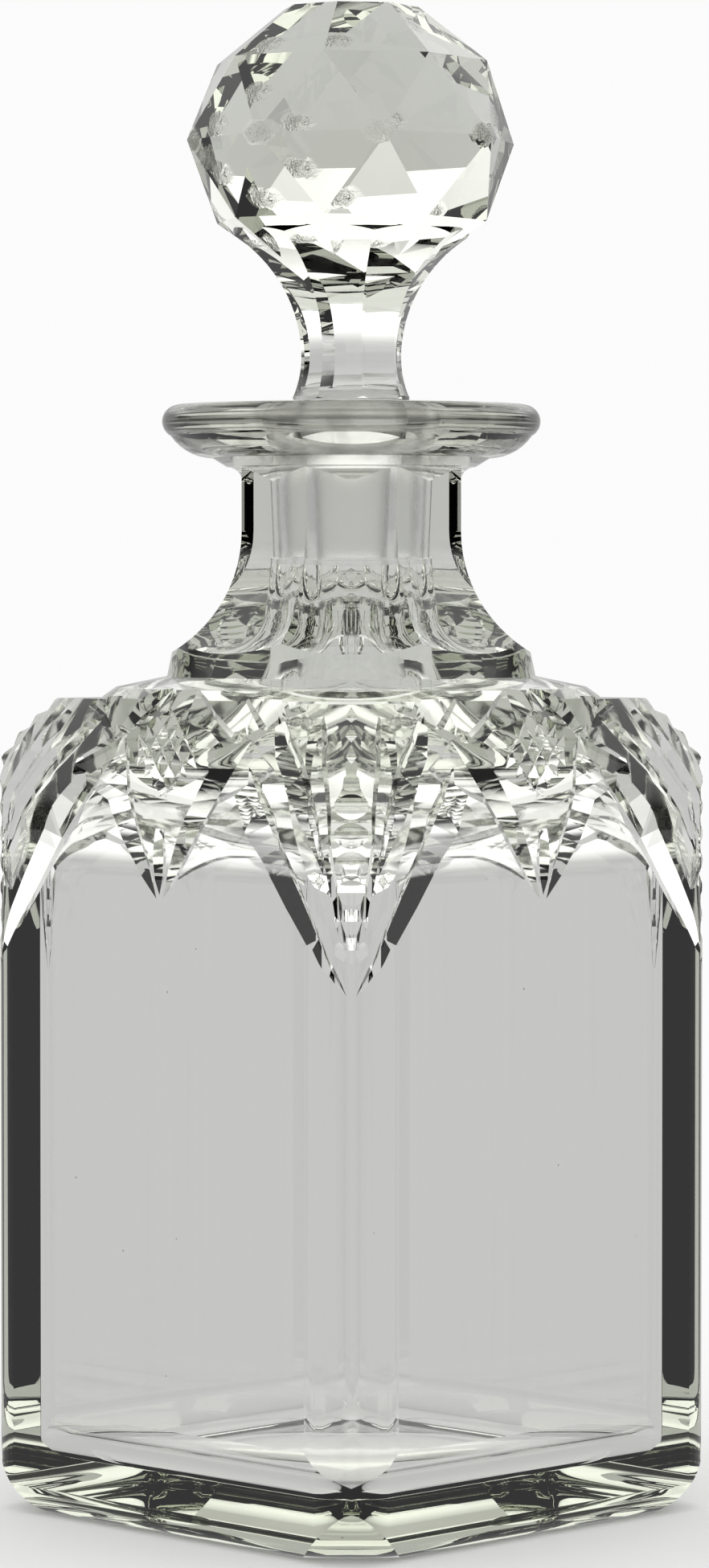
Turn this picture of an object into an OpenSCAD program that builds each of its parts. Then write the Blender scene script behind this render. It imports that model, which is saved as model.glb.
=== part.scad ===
// Cut crystal decanter: a square spirit decanter with a ground-in ball stopper.
// Origin: centre of the base, on the surface it stands on. +Z is up, X and Y run
// across the flat faces. Millimetres.

/* [Body] */
// Width across two opposite flat faces
body_w = 83.6; // [66:0.2:110]
// Radius of the four upright corners
corner_r = 7.7; // [5:0.1:10]
// Radius of the bottom edge along a flat face
foot_r = 4.5; // [2:0.1:7]
// Radius of the rounded bottom corners
foot_corner_r = 10.5; // [6:0.1:13]
// Height of the flat shoulder top
shoulder_z = 129.4; // [105:0.2:175]
// Height of the part of each face that curves in to the shoulder
shoulder_h = 21.4; // [16:0.1:24]
// Radius of that curve
shoulder_r = 30.6; // [27:0.1:40]

/* [Cavity] */
// Thickness of the four walls
wall = 7.4; // [5:0.1:9]
// Thickness of the base at its edge
floor_t = 8.5; // [6:0.1:15]
// How far the middle of the base domes up inside
floor_dome = 1.6; // [0.5:0.1:3]
// Radius of the upright corners inside
cavity_corner_r = 6.5; // [4:0.1:9]
// Radius where the walls meet the base inside
cavity_foot_r = 7.5; // [4:0.1:9]
// Radius where the walls meet the shoulder inside
cavity_top_r = 17; // [12:0.1:19]
// Radius of the rounding over the hollow's corners
cavity_dome_r = 26; // [20:0.5:30]
// Thickness of the shoulder over the cavity
shoulder_t = 10.4; // [8:0.1:14]

/* [Collar] */
// Radius of the round collar on the shoulder
collar_r = 39.5; // [37.5:0.1:41.5]
// How far the collar's wall leans out at its foot
collar_lean = 1.3; // [0.2:0.1:1.6]
// Height of the collar's wall above the shoulder
collar_foot_h = 0.3; // [0.2:0.1:1]
// Width of the slope round the collar's top
collar_slope_w = 2.1; // [1:0.1:3]
// Height of that slope
collar_slope_h = 1.5; // [0.8:0.1:2.5]
// How far the collar's top rises from the slope to the neck ring
collar_rise = 1.7; // [0.5:0.1:4]

/* [Neck] */
// Number of flat panels round the neck
panels = 8; // [8:8]
// Half the distance between two opposite neck panels
neck_flat = 17.3; // [15:0.1:21]
// Radius of the ring at the foot of the neck
ring_r = 29.3; // [25:0.1:32]
// Height of the ring below the middle of a panel
ring_h = 3.8; // [2:0.1:6]
// How far the ring's wall leans in over that height
ring_lean = 0.8; // [0.2:0.1:1.5]
// Radius of the wheel that cut the neck panels
neck_wheel_r = 22; // [20:0.5:26]
// Height of the neck from the ring's foot to the top of the lip
neck_h = 43.5; // [38:0.1:52]

/* [Lip] */
// Radius of the lip
lip_r = 30.05; // [26:0.05:36]
// Thickness of the lip
lip_t = 8.9; // [7:0.1:11]
// How much the lip's top falls from the mouth to its edge
lip_fall = 0.5; // [0.2:0.1:1.5]
// Radius of the lip's top edge
lip_edge_r = 2.6; // [1.5:0.1:3]
// Radius of the lip's rounded underside
lip_belly_r = 8; // [6:0.1:9]
// How much the underside falls from there to the neck
lip_under_fall = 1.4; // [0.5:0.1:2]
// Radius of the curve from the underside to the neck
lip_under_r = 2.5; // [1.5:0.1:3.5]

/* [Ground socket] */
// Radius of the stopper's plug at the top of the lip
plug_r = 9.2; // [7.5:0.1:11.2]
// Length of the plug below the top of the lip
plug_l = 25.5; // [18:0.1:29]
// Loss of radius from the top of the plug to its end
plug_taper = 1.3; // [0.6:0.1:2]
// Gap between the ground plug and its ground socket
ground_gap = 0.05; // [0.03:0.01:0.1]
// Radius of the throat below the socket
throat_r = 8.4; // [7:0.1:10]
// Radius of the flare from the throat to the cavity
flare_r = 17; // [12:0.5:20]

/* [Stopper] */
// Number of facets in each row of the ball
ball_sides = 8; // [8:8]
// Radius of the ball's widest corners
ball_r = 26.4; // [21:0.1:32]
// Radius of the corners in the rows above and below
ball_row_r = 21.8; // [20:0.1:24]
// Height of those rows above and below the middle
ball_row_z = 12.6; // [11:0.1:15]
// Radius of the flat on top of the ball
crown_r = 10.8; // [8:0.1:13]
// Height of that flat above the middle
crown_z = 21.2; // [17:0.1:24]
// Height of the ball's middle above the lip
ball_lift = 41.1; // [38:0.1:50]
// Half the distance between two opposite shank panels
shank_flat = 7.45; // [6:0.05:8.2]
// Radius of the wheel that cut the shank panels
shank_wheel_r = 23.3; // [20:0.1:26]
// Radius of the wheel that cut the shank's foot
shank_foot_wheel_r = 17; // [12:0.5:20]
// Height of the shank's narrowest place above the lip
shank_waist = 7.1; // [6:0.1:9]
// How far the stopper is turned from the body's faces
stopper_turn = 11; // [0:1:22]

/* [Cutting] */
// Half width of a mitre cut for each millimetre of its depth
mitre_k = 1.35; // [1:0.05:2]
// Depth of the large mitres at the eight stars
mitre_d = 2; // [1:0.1:2.4]
// Sideways distance from a face's middle to a star
star_t = 14.3; // [11:0.1:17]
// Drop from the shoulder top to a star
star_drop = 7; // [5:0.1:9]
// Drop from the shoulder top to the pointed tip on each face
face_tip_drop = 31; // [26:0.1:36]
// Drop from the shoulder top to the pointed tip on each corner
corner_tip_drop = 44.5; // [36:0.1:50]
// Distance between two cuts of the cross-hatched lozenge
hatch_pitch = 2.5; // [2:0.1:4]
// Depth of the cross-hatching
hatch_d = 0.85; // [0.4:0.05:1.2]
// Number of hatch cuts each way
hatch_n = 4; // [3:1:6]
// Slope of the hatch cuts from level
hatch_turn = 52; // [40:1:56]
// Distance between two notches on a corner ridge
notch_pitch = 4.3; // [3:0.1:6]
// Depth of the notches
notch_d = 0.65; // [0.3:0.05:1]
// Number of notches on each ridge
notch_n = 10; // [6:1:11]
// Width of the notches
notch_w = 5; // [3:0.1:8]

/* [Hidden] */

$fn = 96;
crystal = [0.86, 0.88, 0.86, 0.55];
crystal_dark = [0.72, 0.75, 0.72, 0.6];

half_w = body_w / 2;
corner_c = half_w - corner_r;
curve_z = shoulder_z - shoulder_h;
cavity_w = half_w - wall;
cavity_top_z = shoulder_z - shoulder_t;
slope_z = shoulder_z + collar_foot_h;
slope_r = collar_r - collar_slope_w;
collar_z = slope_z + collar_slope_h;
ring_z = collar_z + collar_rise;
lip_z = ring_z + neck_h;
lip_under_z = lip_z - lip_t;
plug_end_r = plug_r - plug_taper;
plug_end_z = lip_z - plug_l;
ball_z = lip_z + ball_lift;
waist_z = lip_z + shank_waist;
panel_wheel_z = ring_z + ring_h
    + sqrt(pow(neck_wheel_r, 2) - pow(neck_wheel_r - (ring_r - ring_lean - neck_flat), 2));
star_z = shoulder_z - star_drop;
face_tip_z = shoulder_z - face_tip_drop;
corner_tip_z = shoulder_z - corner_tip_drop;
// Distance from the axis to a corner ridge, and how far round it its bottom corner turns
ridge_reach = sqrt(2) * half_w - (sqrt(2) - 1) * corner_r;
foot_corner_turn = 50;
// Distance along the surface from a face's middle to the corner ridge
corner_t = corner_c + corner_r * PI / 4;
// What a cutter reaches beyond the surface it cuts
over = 4;
// A cut of no depth ends this much clear of the glass, so that it runs out to a point
clear = 0.15;
// How far one shape reaches into the next
bite = 1;
// A sliver shared by two shapes that meet
lap = 0.01;
// Height of the shank's foot above the lip
seat_gap = 0.4;
// Angle between a corner of an eight-sided piece and the middle of its side
half_step = 180 / panels;

// ---- outlines ----

// One side view of the body: foot rounded, face curving in to the shoulder.
module body_side() {
    difference() {
        translate([-half_w, 0]) square([2 * half_w, shoulder_z]);
        for (m = [0, 1]) mirror([m, 0]) {
            difference() {
                translate([half_w - foot_r, -1]) square([foot_r + 1, foot_r + 1]);
                translate([half_w - foot_r, foot_r]) circle(foot_r);
            }
            difference() {
                translate([half_w - shoulder_r, curve_z])
                    square([shoulder_r + 1, shoulder_h + 1]);
                translate([half_w - shoulder_r, curve_z]) circle(shoulder_r, $fn = 192);
            }
        }
    }
}

// One side view of the hollow inside.
module cavity_side() {
    translate([-cavity_w, floor_t + cavity_foot_r])
        square([2 * cavity_w, cavity_top_z - floor_t - cavity_foot_r - cavity_top_r]);
    translate([-cavity_w + cavity_foot_r, floor_t])
        square([2 * (cavity_w - cavity_foot_r), 2 * cavity_foot_r]);
    translate([-cavity_w + cavity_top_r, cavity_top_z - 2 * cavity_top_r])
        square([2 * (cavity_w - cavity_top_r), 2 * cavity_top_r]);
    for (s = [-1, 1]) {
        translate([s * (cavity_w - cavity_foot_r), floor_t + cavity_foot_r])
            circle(cavity_foot_r);
        translate([s * (cavity_w - cavity_top_r), cavity_top_z - cavity_top_r])
            circle(cavity_top_r);
    }
}

// What is left solid above the hollow's corners, to be turned round the axis.
module cavity_dome_side() {
    dome_x = sqrt(2) * cavity_w - (sqrt(2) - 1) * cavity_corner_r + bite - cavity_dome_r;
    translate([dome_x, cavity_top_z - cavity_dome_r]) difference() {
        square(cavity_dome_r + bite);
        circle(cavity_dome_r, $fn = 192);
    }
}

// A square with rounded corners, seen from above.
module rounded_square(half, r) {
    square([2 * half, 2 * (half - r)], center = true);
    square([2 * (half - r), 2 * half], center = true);
    for (x = [-1, 1], y = [-1, 1]) translate([x, y] * (half - r)) circle(r);
}

// Stands a side view up and runs it through the whole body along X or Y.
module run_through(half, turn) {
    rotate([0, 0, turn]) translate([0, half, 0]) rotate([90, 0, 0])
        linear_extrude(2 * half) children();
}

// ---- vessel ----

module body_blank() {
    difference() {
        intersection() {
            linear_extrude(shoulder_z) rounded_square(half_w, corner_r);
            run_through(half_w + bite, 0) body_side();
            run_through(half_w + bite, 90) body_side();
        }
        for (side = [0 : 3]) rotate([0, 0, 90 * side + 45 - foot_corner_turn / 2])
            rotate_extrude(angle = foot_corner_turn) foot_corner_side();
    }
}

// What is cut away under a bottom corner, to be turned past it.
module foot_corner_side() {
    foot_x = ridge_reach + 2 * clear - foot_corner_r;
    difference() {
        translate([foot_x, -bite]) square(foot_corner_r + bite);
        translate([foot_x, foot_corner_r]) circle(foot_corner_r);
    }
}

module collar() {
    rotate_extrude()
        polygon([[0, curve_z], [collar_r + collar_lean, curve_z], [collar_r + collar_lean, star_z],
            [collar_r, slope_z], [slope_r, collar_z], [ring_r, ring_z], [0, ring_z]]);
}

// A column cut all round by the panel wheel: its side view is narrowest at wheel_z and
// flares above and below as the wheel is round. flat is half its width there.
module panelled(flat, wheel_r, wheel_z, low, high, reach) {
    intersection_for (i = [0 : panels / 2 - 1])
        run_through(reach + 2, i * 360 / panels) difference() {
            translate([-reach, low]) square([2 * reach, high - low]);
            for (s = [-1, 1]) translate([s * (flat + wheel_r), wheel_z])
                circle(wheel_r, $fn = 192);
        }
}

module neck() {
    low = ring_z - bite;
    high = panel_wheel_z + lap;
    lean = ring_lean / ring_h;
    intersection() {
        panelled(neck_flat, neck_wheel_r, panel_wheel_z, low, high, ring_r + bite);
        translate([0, 0, low - bite]) cylinder(r1 = ring_r + lean * 2 * bite,
            r2 = ring_r - lean * (high + bite - ring_z), h = high - low + 2 * bite);
    }
    translate([0, 0, panel_wheel_z]) rotate([0, 0, half_step])
        cylinder(r = neck_flat / cos(half_step), h = lip_under_z - panel_wheel_z, $fn = panels);
}

module lip() {
    edge_x = lip_r - lip_edge_r;
    edge_z = lip_z - lip_fall - lip_edge_r;
    belly_x = lip_r - lip_belly_r;
    foot_z = lip_under_z - lip_under_fall;
    foot_x = neck_flat + lip_under_r;
    rotate_extrude() {
        polygon([[0, foot_z], [foot_x, foot_z], [belly_x, lip_under_z], [belly_x, edge_z],
            [edge_x, edge_z], [edge_x, edge_z + lip_edge_r], [plug_r + 3, lip_z], [0, lip_z]]);
        translate([edge_x, edge_z]) circle(lip_edge_r);
        intersection() {
            translate([belly_x, lip_under_z + lip_belly_r]) circle(lip_belly_r, $fn = 192);
            translate([belly_x - bite, lip_under_z]) square([lip_belly_r + bite, edge_z - lip_under_z]);
        }
        difference() {
            translate([0, foot_z - lip_under_r]) square([foot_x, lip_under_r + bite]);
            translate([foot_x, foot_z - lip_under_r]) circle(lip_under_r);
        }
    }
}

module cavity() {
    dome_r = (pow(cavity_w - cavity_foot_r, 2) + pow(floor_dome, 2)) / (2 * floor_dome);
    difference() {
        intersection() {
            linear_extrude(shoulder_z) rounded_square(cavity_w, cavity_corner_r);
            run_through(half_w, 0) cavity_side();
            run_through(half_w, 90) cavity_side();
        }
        translate([0, 0, floor_t + floor_dome - dome_r]) sphere(dome_r, $fn = 200);
        rotate_extrude() cavity_dome_side();
    }
}

// The ground socket, the throat and the flare into the cavity.
module bore() {
    socket_z = plug_end_z - 1.5;
    slope = plug_taper / plug_l;
    top_r = plug_r + ground_gap;
    flare_z = cavity_top_z - 0.2;
    translate([0, 0, socket_z])
        cylinder(r1 = top_r - slope * (lip_z - socket_z), r2 = top_r + slope,
            h = lip_z + 1 - socket_z);
    rotate_extrude() difference() {
        translate([0, flare_z]) square([throat_r + flare_r, flare_r]);
        translate([throat_r + flare_r, flare_z + flare_r]) circle(flare_r, $fn = 192);
    }
    translate([0, 0, flare_z + flare_r - 1])
        cylinder(r = throat_r, h = socket_z - flare_z - flare_r + 2);
}

// ---- cutting on the shoulder ----

// Distance from the middle plane to the curved face at height z.
function face_s(z) = z < curve_z ? half_w
    : half_w - shoulder_r + sqrt(pow(shoulder_r, 2) - pow(min(z, shoulder_z) - curve_z, 2));
// Radius of the collar at height z.
function collar_w(z) = z < star_z ? collar_r + collar_lean
    : z < slope_z ? collar_r + collar_lean * (slope_z - z) / (slope_z - star_z)
    : collar_r - collar_slope_w * (min(z, collar_z) - slope_z) / collar_slope_h;
// Distance from the middle plane to the collar, t sideways.
function collar_s(t, z) = abs(t) >= collar_w(z) ? 0 : sqrt(pow(collar_w(z), 2) - pow(t, 2));
// Angle round the upright corner, for t measured along the surface.
function turn(t) = abs(t) < corner_c ? 0 : (abs(t) - corner_c) / corner_r * 180 / PI;
// A point of the front face, t along the surface from its middle.
function face_point(t, z) = let (b = turn(t), s = max(face_s(z), collar_s(t, z)))
    b == 0 ? [t, -s, z]
    : [sign(t) * min(corner_c + corner_r * sin(b), s), -min(corner_c + corner_r * cos(b), s), z];
function unit(v) = v / norm(v);
// The way out of the glass there.
function face_out(t, z) = collar_s(t, z) > face_s(z) ? unit([t, -collar_s(t, z), 0])
    : let (b = sign(t) * turn(t), a = asin(max(0, min(z, shoulder_z) - curve_z) / shoulder_r))
        [sin(b) * cos(a), -cos(b) * cos(a), sin(a)];

// A V cut through stations of [t, z, depth], with k its half width per depth.
module mitre(stations, k = mitre_k) {
    n = len(stations);
    at = [for (s = stations) face_point(s[0], s[1])];
    out = [for (s = stations) face_out(s[0], s[1])];
    points = [for (i = [0 : n - 1]) let (
            along = unit(at[min(i + 1, n - 1)] - at[max(i - 1, 0)]),
            side = unit(cross(along, out[i])),
            deep = stations[i][2] == 0 ? -clear : stations[i][2],
            wide = k * (deep + over))
        each [at[i] - out[i] * deep,
            at[i] + out[i] * over + side * wide,
            at[i] + out[i] * over - side * wide]];
    faces = [[0, 2, 1], [3 * n - 3, 3 * n - 2, 3 * n - 1],
        for (i = [0 : n - 2], j = [0 : 2]) let (a = 3 * i + j, b = 3 * i + (j + 1) % 3)
            each [[a, b, b + 3], [a, b + 3, a + 3]]];
    polyhedron(points, faces, convexity = 4);
}

// Stations of a straight cut from [t, z] to [t, z], with its depth at each share of the way.
function straight(from, to, shares) = [for (s = shares)
    [from[0] + (to[0] - from[0]) * s[0], from[1] + (to[1] - from[1]) * s[0], s[1]]];

// The large mitres through one star.
module star_cuts() {
    star = [star_t, star_z];
    d = mitre_d;
    // down to the corner tip
    mitre(straight(star, [corner_t - 0.4, corner_tip_z + 0.6],
        [[-0.06, d], [0.2, d], [0.4, 0.95 * d], [0.6, 0.82 * d], [0.76, 0.6 * d],
            [0.88, 0.34 * d], [1, 0]]));
    // down to the face tip
    mitre(straight(star, [0.3, face_tip_z],
        [[-0.06, d], [0.3, 0.95 * d], [0.55, 0.8 * d], [0.8, 0.45 * d], [1, 0]]));
    // up the collar
    mitre(straight(star, [0.2 * star_t, collar_z],
        [[-0.06, 0.8 * d], [0.5, 0.6 * d], [1, 0.5 * d], [1.3, 0.4 * d]]));
    // over the shoulder along the collar's foot
    mitre([[star_t, star_z, 0.6 * d], [star_t + 3.4, star_z + 0.47 * star_drop, 0.5 * d],
        [star_t + 6.2, star_z + 0.74 * star_drop, 0.4 * d],
        [star_t + 9.8, star_z + 0.93 * star_drop, 0.35 * d]]);
}

// The two mitres beside a corner ridge, on one face.
module corner_cuts() {
    // along the ridge, measured back from it
    mitre([for (s = [[12, 1.9, 0.5], [8.7, 8.7, 1.5], [5.4, 14.6, 1.15], [3.9, 21.8, 0.75],
            [2.4, 28.4, 0.6], [1.2, 35.4, 0.45], [0.2, corner_tip_drop - 1.2, 0]])
        [corner_t - s[0], shoulder_z - s[1], s[2]]]);
    // between the ridge and the large mitre
    mitre([for (s = [[20.4, 2.4, 0.4], [17.2, 5.8, 1.2], [12.8, 10, 1.6], [9.2, 14.7, 1.5],
            [6.9, 18.4, 1.2], [5.3, 22.4, 0.6], [4.2, 26, 0]])
        [corner_t - s[0], shoulder_z - s[1], s[2]]]);
}

// Crossing cuts that leave rows of small pyramids between the two stars.
module hatching() {
    mid_z = star_z - star_drop / 12;
    last = (hatch_n - 1) / 2;
    long = (last + 0.5) * hatch_pitch;
    for (m = [-1, 1], i = [-last : last]) let (t = m * i * hatch_pitch * sin(hatch_turn),
            z = mid_z + i * hatch_pitch * cos(hatch_turn))
        mitre([for (s = [[-1.3, 0], [-0.8, 1], [0, 1], [0.8, 1], [1.3, 0]])
            [t - m * s[0] * long * cos(hatch_turn), z + s[0] * long * sin(hatch_turn), s[1] * hatch_d]],
            k = 1.3);
}

// Height a share of the way up from a face's tip to its stars.
function above_tip(share) = face_tip_z + (star_z - face_tip_z) * share;

// The upright cut from the lozenge down to the tip of a face.
module tip_cut() {
    mitre([for (s = [[0.48, 0.5], [0.3, 0.9], [0.15, 0.6], [0.03, 0]]) [0, above_tip(s[0]), s[1]]],
        k = 1.7);
}

// Radius of the corner ridge at height z, and its notches, a pitch apart down it.
function ridge_r(z) = min(sqrt(2) * face_s(z), ridge_reach);
function ridge_slope(z) = ridge_r(z - 0.5) - ridge_r(z + 0.5);
function notch_z(i) = i == 0 ? shoulder_z - notch_pitch / 3
    : let (z = notch_z(i - 1)) z - notch_pitch / sqrt(1 + pow(ridge_slope(z), 2));
module ridge_notches() {
    half = over * notch_pitch * 0.45 / notch_d;
    for (i = [0 : notch_n - 1]) let (z = notch_z(i), lean = atan(ridge_slope(z)))
        rotate([0, 0, -45])
            translate([ridge_r(z) - notch_d * cos(lean), 0, z - notch_d * sin(lean)])
            rotate([0, -lean, 0]) rotate([90, 0, 0]) linear_extrude(notch_w, center = true)
                polygon([[0, 0], [over, half], [over, -half]]);
}

module vessel() {
    color(crystal) difference() {
        union() {
            body_blank();
            collar();
            neck();
            lip();
        }
        cavity();
        bore();
        for (side = [0 : 3]) rotate([0, 0, 90 * side]) {
            for (m = [0, 1]) mirror([m, 0, 0]) {
                star_cuts();
                corner_cuts();
            }
            hatching();
            tip_cut();
            ridge_notches();
        }
    }
}

// ---- stopper ----

// Corners of one row of the ball, from above: radius, height, share of a step turned.
function row(r, z, step) = [for (i = [0 : ball_sides - 1])
    let (a = (i + step) * 360 / ball_sides) [r * cos(a), r * sin(a), z]];

module ball() {
    n = ball_sides;
    under_r = 0.6 * ball_row_r;
    under_z = -ball_row_z - 0.7 * (ball_row_r - under_r);
    points = concat(row(crown_r, crown_z, 0), row(ball_row_r, ball_row_z, 0),
        row(ball_r, 0, 0.5), row(ball_row_r, -ball_row_z, 0), row(under_r, under_z, 0));
    // the two rows with square facets join straight, the others zigzag
    straight = [for (r = [0, 3], i = [0 : n - 1]) let (j = (i + 1) % n)
        [r * n + i, r * n + j, (r + 1) * n + j, (r + 1) * n + i]];
    zigzag = [for (i = [0 : n - 1]) let (j = (i + 1) % n)
        each [[n + i, n + j, 2 * n + i], [n + j, 2 * n + j, 2 * n + i],
            [2 * n + i, 2 * n + j, 3 * n + j], [2 * n + i, 3 * n + j, 3 * n + i]]];
    top = [for (i = [n - 1 : -1 : 0]) i];
    bottom = [for (i = [0 : n - 1]) 4 * n + i];
    polyhedron(points, concat(straight, zigzag, [top, bottom]), convexity = 2);
}

module shank() {
    low = lip_z + seat_gap;
    high = ball_z - ball_row_z;
    intersection() {
        panelled(shank_flat, shank_wheel_r, waist_z, waist_z, high, ball_row_r);
        translate([0, 0, waist_z - 1]) cylinder(r = 0.86 * ball_row_r, h = high - waist_z + 2);
    }
    intersection() {
        panelled(shank_flat, shank_foot_wheel_r, waist_z, low, waist_z + lap, 2 * plug_r);
        translate([0, 0, low - lap]) cylinder(r1 = plug_r, r2 = 2 * plug_r, h = plug_r);
    }
}

// The ground plug, carried up to the foot of the shank.
module plug() {
    slope = plug_taper / plug_l;
    height = plug_l + seat_gap + 0.5;
    translate([0, 0, plug_end_z])
        cylinder(r1 = plug_end_r, r2 = plug_end_r + slope * height, h = height);
}

module stopper() {
    color(crystal_dark) {
        translate([0, 0, ball_z]) rotate([0, 0, stopper_turn - half_step]) ball();
        rotate([0, 0, stopper_turn - half_step]) shank();
        plug();
    }
}

vessel();
stopper();
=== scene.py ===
"""Looks for the cut crystal decanter: lead crystal on the CAD solids, a pale studio
round them, and a camera at the photograph's angle. Metres, in the CAD frame."""

import math

import bpy
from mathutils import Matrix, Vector


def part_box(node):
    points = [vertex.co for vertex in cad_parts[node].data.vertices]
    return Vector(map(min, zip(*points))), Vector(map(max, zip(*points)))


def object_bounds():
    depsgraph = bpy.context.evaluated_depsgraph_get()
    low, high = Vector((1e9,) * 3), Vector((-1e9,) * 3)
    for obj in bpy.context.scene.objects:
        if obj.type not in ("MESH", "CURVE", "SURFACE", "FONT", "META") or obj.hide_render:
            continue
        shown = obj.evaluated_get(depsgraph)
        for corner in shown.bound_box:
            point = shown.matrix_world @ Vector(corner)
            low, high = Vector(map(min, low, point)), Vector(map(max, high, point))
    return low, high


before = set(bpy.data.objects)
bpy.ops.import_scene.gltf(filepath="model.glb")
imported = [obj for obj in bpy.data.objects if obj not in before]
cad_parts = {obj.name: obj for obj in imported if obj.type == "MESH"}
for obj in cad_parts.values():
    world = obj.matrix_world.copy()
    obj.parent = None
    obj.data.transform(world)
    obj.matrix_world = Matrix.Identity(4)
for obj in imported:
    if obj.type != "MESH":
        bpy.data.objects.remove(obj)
cad_low, cad_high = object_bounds()

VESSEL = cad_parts["vessel"]
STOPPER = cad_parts["stopper"]

# ---- measures taken from the frame, or the same as in the CAD ----
LIP_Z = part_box("vessel")[1].z
SOCKET_R = 0.0102          # a little wider than the ground socket
SOCKET_LOW_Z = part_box("stopper")[0].z - 0.0014
GROUND_TOP_Z = LIP_Z - 0.0006
BALL_R = 0.0264
BALL_Z = cad_high.z - 0.0212
CUTS_LOW_Z = 0.098
CUTS_TOP_Z = 0.1325
LIP_FOOT_Z = LIP_Z - 0.0105
NECK_R = 0.0175

# ---- how far the edges of the marks fade ----
CUTS_LOW_FADE = 0.008
CUTS_TOP_FADE = 0.001
LIP_FOOT_FADE = 0.002
NECK_FADE = 0.003
BRUISE_DEPTH = (0.0014, 0.0006)
BRUISE_HALF_HEIGHT = (0.0010, 0.0022)

# ---- camera ----
CAMERA_TURN = math.radians(45)
CAMERA_DISTANCE = 0.880
CAMERA_HEIGHT = 0.149
CAMERA_PITCH = math.radians(2.168)
CAMERA_PAN = math.radians(0.033)
CAMERA_LENS = 126.95
SENSOR = 36

# ---- studio brightness ----
BACKDROP = 0.97            # what the camera sees behind and under the decanter
SWEEP = 0.60               # the grey seen through the glass
LAMPS = 0.8                # added overhead
HIGH_LOSS = 0.55           # share of the lamps lost straight above
CARD_LOSS = 0.98           # share of light the dark side cards take
ROOM_LOSS = 0.45           # share lost low down on the camera's side
# Where each of them starts and is full, as the height or reach of a direction of length 1.
LAMPS_RISE = (0.12, 0.35)
HIGH_RISE = (0.6, 0.85)
CARD_EDGE = (0.66, 0.80)
CARD_TOP = (0.12, 0.26)
ROOM_EDGE = (0.1, 0.6)
ROOM_TOP = (0.1, 0.4)
STUDIO_TINT = (1, 1, 0.99, 1)
FLOOR_PAINT = (0.86, 0.86, 0.86, 1)
FLOOR_R = 12
FLOOR_GAP = 0.0001
FLOOR_FADE = (0.05, 0.4)   # distance from the decanter where the floor turns to backdrop

# ---- glass ----
IOR = 1.545
TINT = (0.70, 0.73, 0.60, 1)
TINT_DENSITY = 13.0
MIX_COLOUR_SLOTS = (0, 6, 7)
MIX_COLOUR_RESULT = 2
CLEAR = (1, 1, 1, 1)
# dark colour of the specks of dirt, and of the painted shade on the lip
DIRT_AND_LIP_SHADE = (0.12, 0.11, 0.09, 1)

# ---- patterns in it: the noise's scale, detail and roughness, and its lower and upper cut ----
STREAKS = (1.0, 3, 0.6), (0.5, 0.8)
STREAK_STRETCH = (330, 330, 9)
PATCHES = (170, 2, 0.5), (0.38, 0.62)
PATCH_STRETCH = (1, 1, 0.6)
SMEARS = (38, 5, 0.6), (0.6, 0.85)
BRUISES = (260, 3, 0.6), (0.42, 0.55)
SPECKS_SCALE = 95.0
SPECK_SIZE = 0.021
WAVES = (1.0, 1, 0.4)
WAVE_STRETCH = (42, 42, 6)
GRIT = (4200, 2, 0.6)
SHELL = (1500, 3, 0.7)

# ---- how strong each one is ----
STREAK_SHARE = 0.03
SPECK_SHARE = 0.7
LIP_SHADE_SHARE = 0.32           # painted shade darkening the whole lip
LIP_SHADE_MOTTLE = 0.38          # and how much more painted shade in patches
SMEAR_ROUGHNESS = 0.008
CUT_ROUGHNESS = 0.045
GROUND_ROUGHNESS = 0.2
BRUISE_ROUGHNESS = 0.3
# Strength and height of each bump.
WAVE_BUMP = (0.022, 0.0012)
GRIT_BUMP = (0.3, 0.0001)
SHELL_BUMP = (0.9, 0.0006)


def make_camera():
    data = bpy.data.cameras.new("camera")
    data.lens = CAMERA_LENS
    data.sensor_fit = "VERTICAL"
    data.sensor_height = SENSOR
    data.clip_start = 0.01
    camera = bpy.data.objects.new("camera", data)
    bpy.context.scene.collection.objects.link(camera)
    back = Vector((math.sin(CAMERA_TURN), -math.cos(CAMERA_TURN), 0))
    camera.location = back * CAMERA_DISTANCE + Vector((0, 0, CAMERA_HEIGHT))
    camera.rotation_euler = (math.pi / 2 - CAMERA_PITCH, 0, CAMERA_TURN - CAMERA_PAN)
    bpy.context.scene.camera = camera


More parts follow.
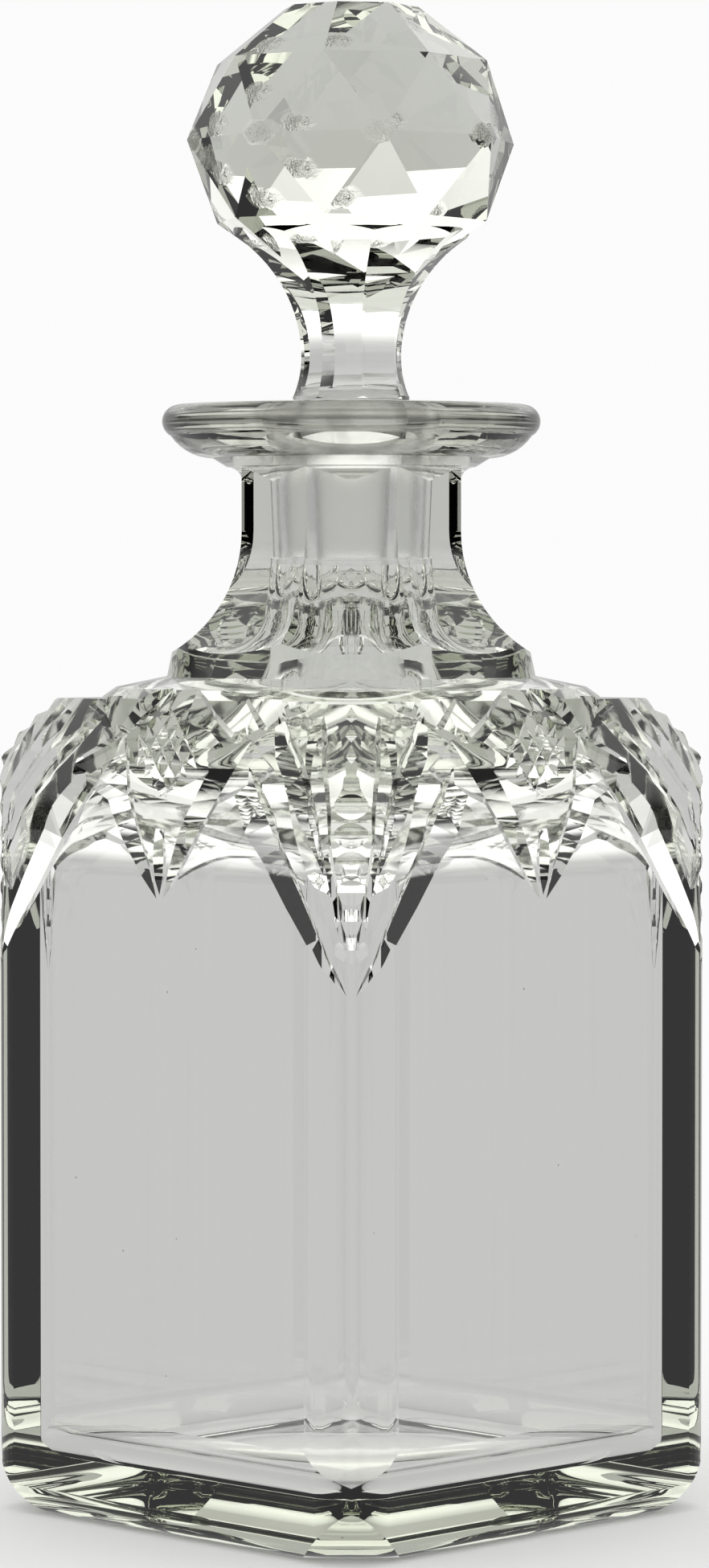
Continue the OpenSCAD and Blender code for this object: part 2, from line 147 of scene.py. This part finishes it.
# ---- node helpers ----
class Nodes:
    """Short names for building one node tree. A value is a socket or a plain number."""

    def __init__(self, tree):
        self.tree = tree
        tree.nodes.clear()

    def add(self, kind, **settings):
        node = self.tree.nodes.new(kind)
        for key, value in settings.items():
            setattr(node, key, value)
        return node

    def link(self, source, target):
        self.tree.links.new(source, target)

    def put(self, value, socket):
        if isinstance(value, bpy.types.NodeSocket):
            self.link(value, socket)
        else:
            socket.default_value = value

    def math(self, operation, a, b=0.0, clamp=False):
        node = self.add("ShaderNodeMath", operation=operation, use_clamp=clamp)
        self.put(a, node.inputs[0])
        self.put(b, node.inputs[1])
        return node.outputs[0]

    def sum(self, a, b, clamp=False):
        return self.math("ADD", a, b, clamp)

    def product(self, a, b):
        return self.math("MULTIPLY", a, b)

    def rest(self, value):
        """What is left of 1."""
        return self.math("SUBTRACT", 1.0, value)

    def split(self, vector):
        node = self.add("ShaderNodeSeparateXYZ")
        self.link(vector, node.inputs[0])
        return node.outputs

    def ramp(self, value, low, high):
        """0 below low, 1 above high, smooth between."""
        node = self.add("ShaderNodeMapRange", clamp=True, interpolation_type="SMOOTHSTEP")
        self.put(value, node.inputs["Value"])
        node.inputs["From Min"].default_value = low
        node.inputs["From Max"].default_value = high
        return node.outputs["Result"]

    def noise(self, vector, scale, detail, roughness):
        node = self.add("ShaderNodeTexNoise")
        self.link(vector, node.inputs["Vector"])
        node.inputs["Scale"].default_value = scale
        node.inputs["Detail"].default_value = detail
        node.inputs["Roughness"].default_value = roughness
        return node.outputs["Fac"]

    def cut_noise(self, vector, pattern):
        """A noise brought to 0 below its lower cut and 1 above its upper one."""
        settings, cuts = pattern
        return self.ramp(self.noise(vector, *settings), *cuts)

    def scaled(self, vector, scale):
        node = self.add("ShaderNodeVectorMath", operation="MULTIPLY")
        self.link(vector, node.inputs[0])
        node.inputs[1].default_value = scale
        return node.outputs[0]

    def specks(self, vector, scale, size):
        """1 on scattered dots."""
        node = self.add("ShaderNodeTexVoronoi", feature="F1")
        self.link(vector, node.inputs["Vector"])
        node.inputs["Scale"].default_value = scale
        return self.math("LESS_THAN", node.outputs["Distance"], size)

    def bump(self, height, strength, distance, normal=None):
        node = self.add("ShaderNodeBump")
        node.inputs["Strength"].default_value = strength
        node.inputs["Distance"].default_value = distance
        self.link(height, node.inputs["Height"])
        if normal is not None:
            self.link(normal, node.inputs["Normal"])
        return node.outputs["Normal"]

    def radius(self, x, y):
        return self.math("SQRT", self.sum(self.math("POWER", self.math("ABSOLUTE", x), 2.0),
                                          self.math("POWER", self.math("ABSOLUTE", y), 2.0)))

    def camera_or(self, seen, lit):
        """One shader for the camera's own rays, another for light and for the glass."""
        mix = self.add("ShaderNodeMixShader")
        self.link(self.add("ShaderNodeLightPath").outputs["Is Camera Ray"], mix.inputs[0])
        self.link(lit, mix.inputs[1])
        self.link(seen, mix.inputs[2])
        return mix.outputs[0]


# ---- marks on the glass, each a mask from 0 to 1 ----
def socket_mask(n, x, y, z):
    """The vessel's ground socket, inside the neck."""
    inside = n.math("LESS_THAN", n.radius(x, y), SOCKET_R)
    above = n.math("GREATER_THAN", z, SOCKET_LOW_Z)
    below = n.math("LESS_THAN", z, GROUND_TOP_Z)
    return n.product(inside, n.product(above, below))


def cut_mask(n, z):
    """The hand-polished cuts over the shoulder."""
    below = n.rest(n.ramp(z, CUTS_TOP_Z - CUTS_TOP_FADE, CUTS_TOP_Z + CUTS_TOP_FADE))
    return n.product(n.ramp(z, CUTS_LOW_Z, CUTS_LOW_Z + CUTS_LOW_FADE), below)


def lip_shade_mask(n, x, y, z):
    """The lip, outside the neck, which gets painted shade."""
    out_there = n.ramp(n.radius(x, y), NECK_R, NECK_R + NECK_FADE)
    return n.product(out_there, n.ramp(z, LIP_FOOT_Z, LIP_FOOT_Z + LIP_FOOT_FADE))


def bruise_mask(n, place, x, y, z):
    """The knocked corners round the ball's middle, in broken patches."""
    out_there = n.ramp(n.radius(x, y), *(BALL_R - depth for depth in BRUISE_DEPTH))
    level = n.math("ABSOLUTE", n.math("SUBTRACT", z, BALL_Z))
    near = n.rest(n.ramp(level, *BRUISE_HALF_HEIGHT))
    return n.product(n.cut_noise(place, BRUISES), n.product(out_there, near))


def vessel_marks(n, place):
    """Ground, bruised and cut places and the lip's painted shade, in that order. The body has
    no bruises.
    """
    x, y, z = n.split(place)
    return socket_mask(n, x, y, z), 0.0, cut_mask(n, z), lip_shade_mask(n, x, y, z)


def stopper_marks(n, place):
    """The same for the stopper, which has a ground plug and a bruised ball only."""
    x, y, z = n.split(place)
    return n.math("LESS_THAN", z, GROUND_TOP_Z), bruise_mask(n, place, x, y, z), 0.0, 0.0


# ---- lead crystal ----
def glass_colour(n, place, lip_shade_area):
    """Faint upright streaks, specks of dirt and seeds in the skin, and painted shade darkening
    the lip.
    """
    streak = n.cut_noise(n.scaled(place, STREAK_STRETCH), STREAKS)
    speck = n.specks(place, SPECKS_SCALE, SPECK_SIZE)
    skin = n.sum(n.product(streak, STREAK_SHARE), n.product(speck, SPECK_SHARE))
    patches = n.cut_noise(n.scaled(place, PATCH_STRETCH), PATCHES)
    # painted shade on the lip: even over all of it, and deeper in patches
    lip_shade_depth = n.sum(n.product(patches, LIP_SHADE_MOTTLE), LIP_SHADE_SHARE)
    shade = n.add("ShaderNodeMix", data_type="RGBA")
    share, clean, dirt_and_lip_shade = (shade.inputs[slot] for slot in MIX_COLOUR_SLOTS)
    n.link(n.sum(skin, n.product(lip_shade_area, lip_shade_depth), clamp=True), share)
    clean.default_value = CLEAR
    dirt_and_lip_shade.default_value = DIRT_AND_LIP_SHADE
    return shade.outputs[MIX_COLOUR_RESULT]


def glass_roughness(n, place, ground, bruise, cuts):
    """Polished glass with a few hand smears, softer cuts, a matt joint, crushed bruises."""
    smear = n.product(n.cut_noise(place, SMEARS), SMEAR_ROUGHNESS)
    polish = n.sum(smear, n.product(cuts, CUT_ROUGHNESS))
    matt = n.sum(n.product(ground, GROUND_ROUGHNESS), n.product(bruise, BRUISE_ROUGHNESS))
    return n.sum(polish, matt)


def glass_normal(n, place, ground, bruise):
    """Slow waves drawn out upwards by the blowing, the joint's grit, broken bruises."""
    waves = n.noise(n.scaled(place, WAVE_STRETCH), *WAVES)
    grit = n.product(n.noise(place, *GRIT), ground)
    shell = n.product(n.noise(place, *SHELL), bruise)
    normal = n.bump(waves, *WAVE_BUMP)
    normal = n.bump(grit, *GRIT_BUMP, normal)
    return n.bump(shell, *SHELL_BUMP, normal)


def crystal(name, marks):
    """Lead crystal with one piece's marks on it."""
    material = bpy.data.materials.new(name)
    material.use_nodes = True
    n = Nodes(material.node_tree)
    place = n.add("ShaderNodeTexCoord").outputs["Object"]
    ground, bruise, cuts, lip_shade_area = marks(n, place)
    glass = n.add("ShaderNodeBsdfPrincipled")
    glass.inputs["Transmission Weight"].default_value = 1.0
    glass.inputs["IOR"].default_value = IOR
    n.link(glass_colour(n, place, lip_shade_area), glass.inputs["Base Color"])
    n.link(glass_roughness(n, place, ground, bruise, cuts), glass.inputs["Roughness"])
    n.link(glass_normal(n, place, ground, bruise), glass.inputs["Normal"])
    tint = n.add("ShaderNodeVolumeAbsorption")
    tint.inputs["Color"].default_value = TINT
    tint.inputs["Density"].default_value = TINT_DENSITY
    out = n.add("ShaderNodeOutputMaterial")
    n.link(glass.outputs[0], out.inputs["Surface"])
    n.link(tint.outputs[0], out.inputs["Volume"])
    return material


def assign(obj, material):
    obj.data.materials.clear()
    obj.data.materials.append(material)


# ---- studio ----
def studio_light(n, x, y, z):
    """Brightness of the studio in one direction, as the glass sees it."""
    across = n.math("ABSOLUTE", n.sum(n.product(x, math.cos(CAMERA_TURN)),
                                      n.product(y, math.sin(CAMERA_TURN))))
    front = n.sum(n.product(x, math.sin(CAMERA_TURN)), n.product(y, -math.cos(CAMERA_TURN)))
    low_down = n.rest(n.ramp(n.math("ABSOLUTE", z), *CARD_TOP))
    card = n.product(n.ramp(across, *CARD_EDGE), low_down)
    not_too_high = n.rest(n.product(n.ramp(z, *HIGH_RISE), HIGH_LOSS))
    lamps = n.product(n.ramp(z, *LAMPS_RISE), not_too_high)
    room = n.product(n.ramp(front, *ROOM_EDGE), n.rest(n.ramp(z, *ROOM_TOP)))
    sweep = n.product(n.sum(SWEEP, n.product(lamps, LAMPS)), n.rest(n.product(room, ROOM_LOSS)))
    return n.product(sweep, n.rest(n.product(card, CARD_LOSS)))


def make_world():
    """White all round for the camera. Through the glass the studio shows: a grey sweep
    behind, lamps overhead, dark cards on either side and a dimmer room at the front."""
    world = bpy.data.worlds.new("studio")
    bpy.context.scene.world = world
    world.use_nodes = True
    n = Nodes(world.node_tree)
    way = n.split(n.add("ShaderNodeTexCoord").outputs["Generated"])
    seen = n.add("ShaderNodeBackground")
    seen.inputs["Color"].default_value = (BACKDROP, BACKDROP, BACKDROP, 1)
    lit = n.add("ShaderNodeBackground")
    lit.inputs["Color"].default_value = STUDIO_TINT
    n.link(studio_light(n, *way), lit.inputs["Strength"])
    out = n.add("ShaderNodeOutputWorld")
    n.link(n.camera_or(seen.outputs[0], lit.outputs[0]), out.inputs["Surface"])


def make_floor():
    """A pale floor that takes the decanter's shadow near it and fades into the backdrop."""
    bpy.ops.mesh.primitive_circle_add(vertices=96, radius=FLOOR_R, fill_type="NGON",
                                      location=(0, 0, cad_low.z - FLOOR_GAP))
    floor = bpy.context.object
    floor.name = "floor"
    material = bpy.data.materials.new("pale_floor")
    material.use_nodes = True
    n = Nodes(material.node_tree)
    paint = n.add("ShaderNodeBsdfDiffuse")
    paint.inputs["Color"].default_value = FLOOR_PAINT
    far = n.add("ShaderNodeEmission")
    far.inputs["Color"].default_value = (BACKDROP, BACKDROP, BACKDROP, 1)
    through = n.add("ShaderNodeEmission")
    through.inputs["Color"].default_value = (SWEEP, SWEEP, SWEEP, 1)
    x, y = n.split(n.add("ShaderNodeTexCoord").outputs["Object"])[:2]
    fade = n.add("ShaderNodeMixShader")
    n.link(n.ramp(n.radius(x, y), *FLOOR_FADE), fade.inputs[0])
    n.link(paint.outputs[0], fade.inputs[1])
    n.link(far.outputs[0], fade.inputs[2])
    out = n.add("ShaderNodeOutputMaterial")
    n.link(n.camera_or(fade.outputs[0], through.outputs[0]), out.inputs["Surface"])
    assign(floor, material)


bpy.context.scene.view_settings.view_transform = "Standard"
make_camera()
make_world()
make_floor()
assign(VESSEL, crystal("crystal_body", vessel_marks))
assign(STOPPER, crystal("crystal_stopper", stopper_marks))
